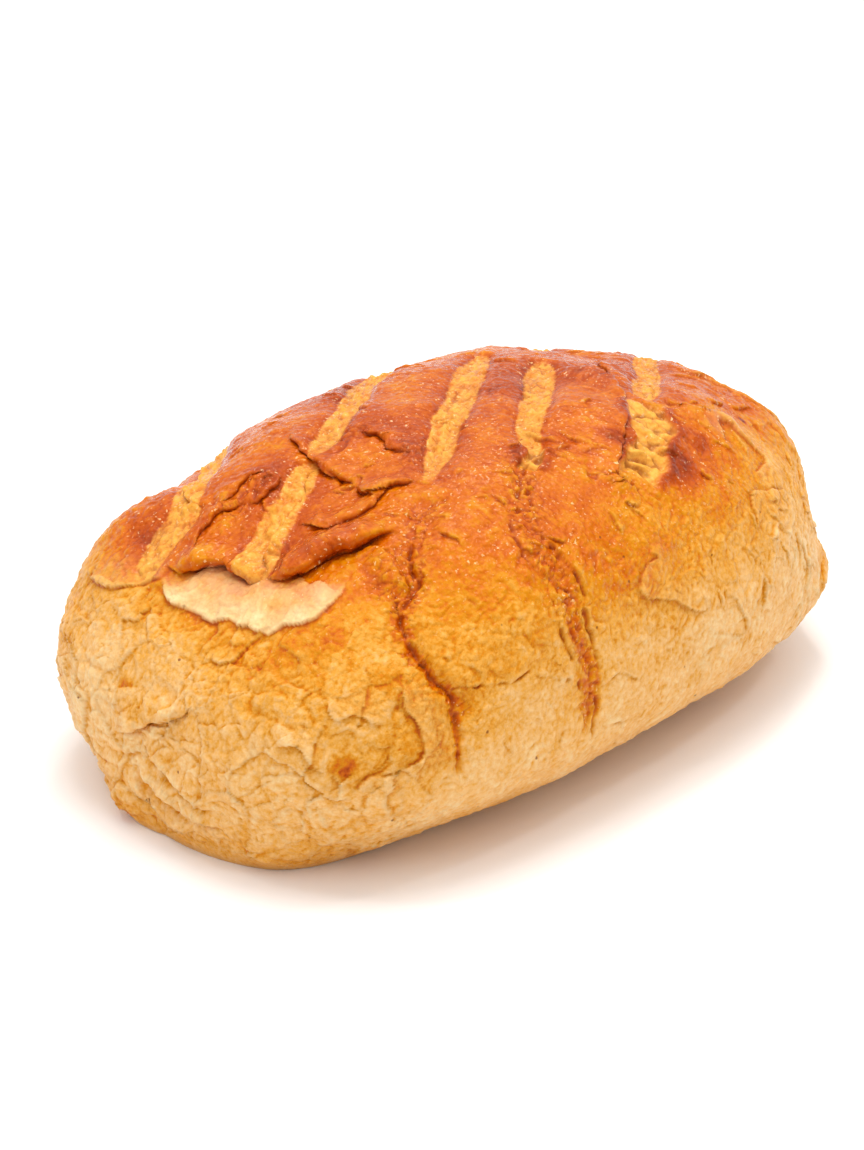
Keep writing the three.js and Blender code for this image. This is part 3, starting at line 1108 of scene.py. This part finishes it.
def make_floor():
    turns = ((-1, -1), (1, -1), (1, 1), (-1, 1))
    corners = [(x * FLOOR_HALF, y * FLOOR_HALF, 0) for x, y in turns]
    mesh = bpy.data.meshes.new("floor")
    mesh.from_pydata(corners, [], [(0, 1, 2, 3)])
    floor = bpy.data.objects.new("floor", mesh)
    bpy.context.collection.objects.link(floor)
    material = bpy.data.materials.new("pale_floor")
    n = Nodes(material)
    tone = n.ramp(n.noise(300, 2), [(0.0, (0.94, 0.94, 0.94, 1)), (1.0, (0.96, 0.96, 0.96, 1))])
    shader = n.add("ShaderNodeBsdfPrincipled", {"Base Color": tone, "Roughness": 0.7})
    output = n.add("ShaderNodeOutputMaterial")
    n.put(output.inputs["Surface"], shader.outputs[0])
    mesh.materials.append(material)


def aim(thing, place, target):
    """Puts a lamp or camera at a place, looking at the target."""
    thing.location = place
    thing.rotation_euler = (Vector(target) - Vector(place)).to_track_quat("-Z", "Y").to_euler()


LAMP_TARGET = (0, 0, 0.05)


def make_lamp(name, place, size, watts, mirrored):
    """A lamp aimed at the loaf; one that isn't mirrored lights it, but leaves no gloss on it."""
    light = bpy.data.lights.new(name, "AREA")
    light.shape = "RECTANGLE"
    light.size, light.size_y = size
    light.energy = watts
    lamp = bpy.data.objects.new(name, light)
    bpy.context.collection.objects.link(lamp)
    lamp.visible_glossy = mirrored
    aim(lamp, place, LAMP_TARGET)


# name, place, size, watts, and whether the loaf mirrors it
LAMPS = [
    ("key", (0.04, 0.06, 1.7), (0.7, 0.7), 9.5, False),
    ("fill", (-0.2, -1.8, 1.0), (1.6, 1.0), 1.5, False),
    ("left", (-1.6, 0.2, 0.9), (0.8, 0.8), 1.6, True),
]
# places, size and watts of the small lamps whose reflections are the bright points of the glaze
GLINTS = [(0.75, 0.66, 1.4), (0.45, 0.15, 1.5), (-0.5, 0.4, 1.4), (0.6, -0.6, 1.2)]
GLINT_SIZE, GLINT_WATTS = 0.12, 1.6

# brightness of the studio's ceiling, of its walls, and of the backdrop all round at their foot
CEILING, WALL, BACKDROP = 1.35, 0.1, 0.92


def make_world():
    world = bpy.data.worlds.new("soft_studio")
    n = Nodes(world)
    way = n.add("ShaderNodeTexCoord").outputs["Generated"]
    up = n.add("ShaderNodeSeparateXYZ", {"Vector": way}).outputs["Z"]
    above = n.range(up, 0.35, 0.8, WALL, CEILING)
    strength = n.math("MAXIMUM", above, n.range(up, 0.2, 0.34, BACKDROP, 0.0))
    background = n.add("ShaderNodeBackground", {"Color": (1, 1, 1, 1), "Strength": strength})
    output = n.add("ShaderNodeOutputWorld")
    n.put(output.inputs["Surface"], background.outputs[0])
    bpy.context.scene.world = world


# the direction that the camera looks from, and the point it looks at, beside and above the origin
AZIMUTH, ELEVATION = math.radians(-48), math.radians(24.4)
DISTANCE = 0.850
FOCAL_LENGTH = 74.1
AIM_SIDE, AIM_HEIGHT = -0.0123, 0.0456


def make_camera():
    right = (math.cos(AZIMUTH), math.sin(AZIMUTH))
    target = (AIM_SIDE * right[0], AIM_SIDE * right[1], AIM_HEIGHT)
    level = math.cos(ELEVATION)
    back = (math.sin(AZIMUTH) * level, -math.cos(AZIMUTH) * level, math.sin(ELEVATION))
    data = bpy.data.cameras.new("camera")
    data.lens = FOCAL_LENGTH
    data.sensor_width = 36
    data.clip_end = 60
    camera = bpy.data.objects.new("camera", data)
    bpy.context.collection.objects.link(camera)
    aim(camera, [t + DISTANCE * b for t, b in zip(target, back)], target)
    bpy.context.scene.camera = camera


make_floor()
make_world()
for lamp in LAMPS:
    make_lamp(*lamp)
for number, place in enumerate(GLINTS):
    make_lamp(f"glint_{number}", place, (GLINT_SIZE, GLINT_SIZE), GLINT_WATTS, True)
make_camera()
bpy.context.scene.view_settings.view_transform = "Standard"
